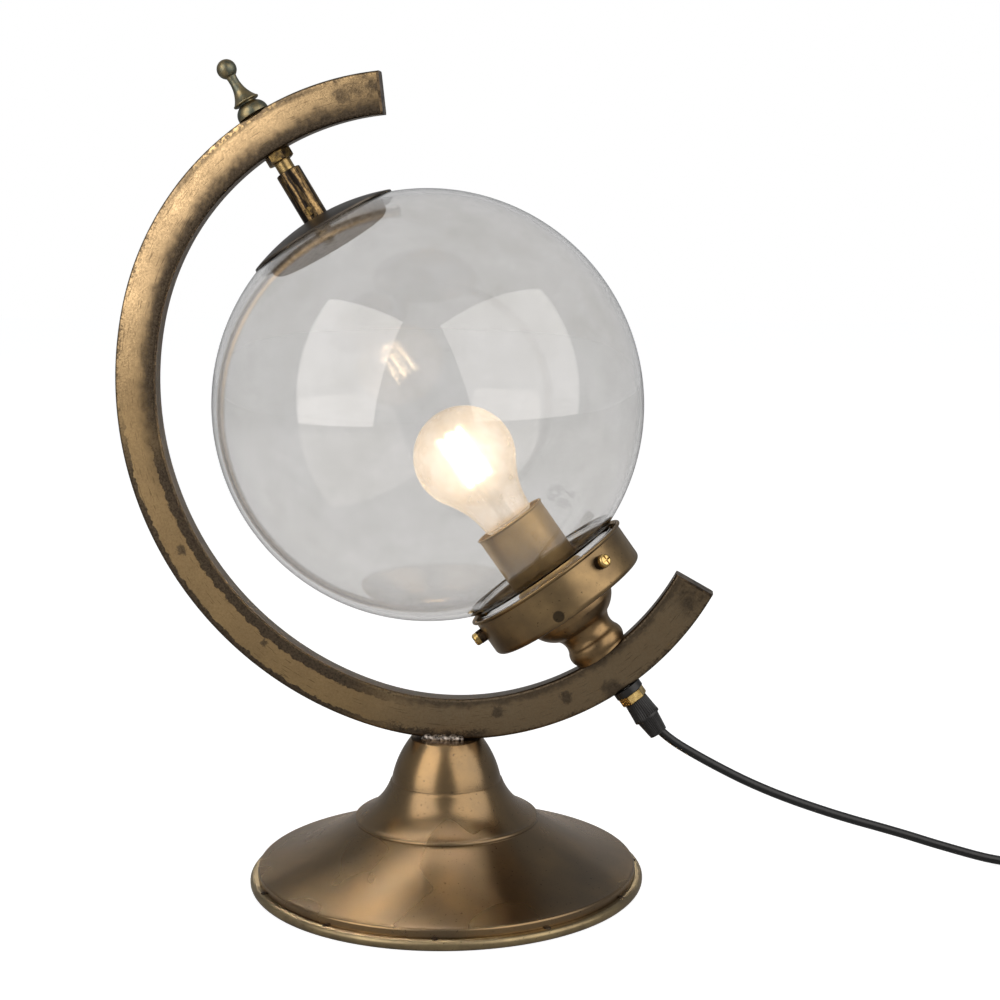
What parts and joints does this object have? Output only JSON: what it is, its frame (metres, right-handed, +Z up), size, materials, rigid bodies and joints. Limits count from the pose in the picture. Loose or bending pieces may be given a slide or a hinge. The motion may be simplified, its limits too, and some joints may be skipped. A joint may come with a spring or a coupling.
{
  "type": "globe table lamp",
  "caption": "Table lamp with a clear glass globe held at a tilt inside an open bow of flat tube, on a spun trumpet base, with a corded inline switch.",
  "frame": {"origin": "centre of the base's underside, on the surface the lamp stands on", "axes": "+Z up; the bow lies in the XZ plane and opens towards +X, where the cord leaves; +Y away from the viewer"},
  "size_m": [0.6544, 0.2552, 0.4839],
  "materials": {
    "base_brass": "lacquered aged brass, spun rings",
    "ring_brass": "rolled aged brass, dull",
    "bow_brass": "aged brass with mottled dark patina",
    "gallery_brass": "aged brass, turned",
    "pillar_brass": "dark coppery brass with stains",
    "socket_brass": "satin brass",
    "bright_brass": "polished yellow brass",
    "dark_bronze": "dark bronze, rubbed",
    "cap_bronze": "dark grey bronze, spun",
    "cup_beige": "beige brown, matt",
    "finial_paint": "grey green, satin",
    "weld_metal": "rough weld",
    "plain_steel": "plain steel",
    "pin_nickel": "nickel plated",
    "cast_weight": "rough casting",
    "felt": "dark felt",
    "seat_rubber": "pale translucent rubber",
    "clear_glass": "clear blown glass",
    "stem_glass": "clear glass",
    "black_glass": "black glass",
    "lampholder_ceramic": "white ceramic",
    "black_plastic": "black, fine texture",
    "tie_nylon": "black nylon",
    "cord_sheath": "black flexible sheath",
    "bulb_glow": "frosted, lit warm white",
    "filament_glow": "lit filament"
  },
  "bodies": {
    "lamp": {"base_bell": "base_brass", "base_ring": "ring_brass", "base_plate": "plain_steel", "ballast": "cast_weight", "felt_pad": "felt", "weld_bead": "weld_metal", "bow_tube": "bow_brass", "bow_plate_upper": "bow_brass", "bow_plate_lower": "bow_brass", "finial": "finial_paint", "crown_rod": "plain_steel", "crown_nut": "bright_brass", "glass_globe": "clear_glass", "seat_ring": "seat_rubber", "gallery": "gallery_brass", "gallery_bosses": "dark_bronze", "pillar": "pillar_brass", "holder_rod": "plain_steel", "holder_nut": "bright_brass", "socket_cup": "socket_brass", "lampholder_body": "lampholder_ceramic", "screw_shell": "bright_brass", "centre_contact": "bright_brass", "outlet_washer": "black_plastic", "outlet_nut": "bright_brass", "cord_grip": "black_plastic", "inner_lead": "cord_sheath", "cord_lead": "cord_sheath", "cord_link": "cord_sheath", "cord_coil": "cord_sheath", "cord_tie": "tie_nylon", "cord_tail": "cord_sheath", "switch_lower": "black_plastic", "switch_upper": "black_plastic", "switch_screws": "plain_steel", "switch_terminals": "bright_brass", "plug_body": "black_plastic", "plug_pins": "pin_nickel"},
    "cap": {"cap_sleeve": "dark_bronze", "globe_cap": "cap_bronze", "cap_cup": "cup_beige"},
    "set_screw": {"sleeve_screw": "bright_brass"},
    "screw_a": {"gallery_screw_a": "bright_brass"},
    "screw_b": {"gallery_screw_b": "bright_brass"},
    "screw_c": {"gallery_screw_c": "bright_brass"},
    "bulb": {"bulb_glass": "bulb_glow", "bulb_cap": "pin_nickel", "bulb_insulator": "black_glass", "bulb_tip": "pin_nickel", "bulb_stem": "stem_glass", "filament_frame": "pin_nickel", "filaments": "filament_glow"},
    "rocker": {"switch_rocker": "black_plastic"}
  },
  "joints": [
    {"name": "cap_slide", "type": "slide", "parent": "lamp", "child": "cap", "axis": [-0.515, 0, 0.8572], "range_m": [0, 0.006]},
    {"name": "set_screw_slide", "type": "slide", "parent": "cap", "child": "set_screw", "axis": [0, -1, 0], "range_m": [0, 0.002]},
    {"name": "screw_a_slide", "type": "slide", "parent": "lamp", "child": "screw_a", "axis": [0.5614, -0.7266, 0.3961], "range_m": [0, 0.006]},
    {"name": "screw_b_slide", "type": "slide", "parent": "lamp", "child": "screw_b", "axis": [-0.7949, -0.2317, -0.5607], "range_m": [0, 0.006]},
    {"name": "screw_c_slide", "type": "slide", "parent": "lamp", "child": "screw_c", "axis": [0.2334, 0.9583, 0.1647], "range_m": [0, 0.006]},
    {"name": "bulb_turn", "type": "hinge", "parent": "lamp", "child": "bulb", "pos_m": [-0.0094, 0, 0.28606], "axis": [0.5764, 0, -0.8171], "range_deg": [-90, 0]},
    {"name": "rocker_tilt", "type": "hinge", "parent": "lamp", "child": "rocker", "pos_m": [0.3845, -0.0183, 0.0115], "axis": [1, 0, 0], "range_deg": [-16, 0]}
  ]
}
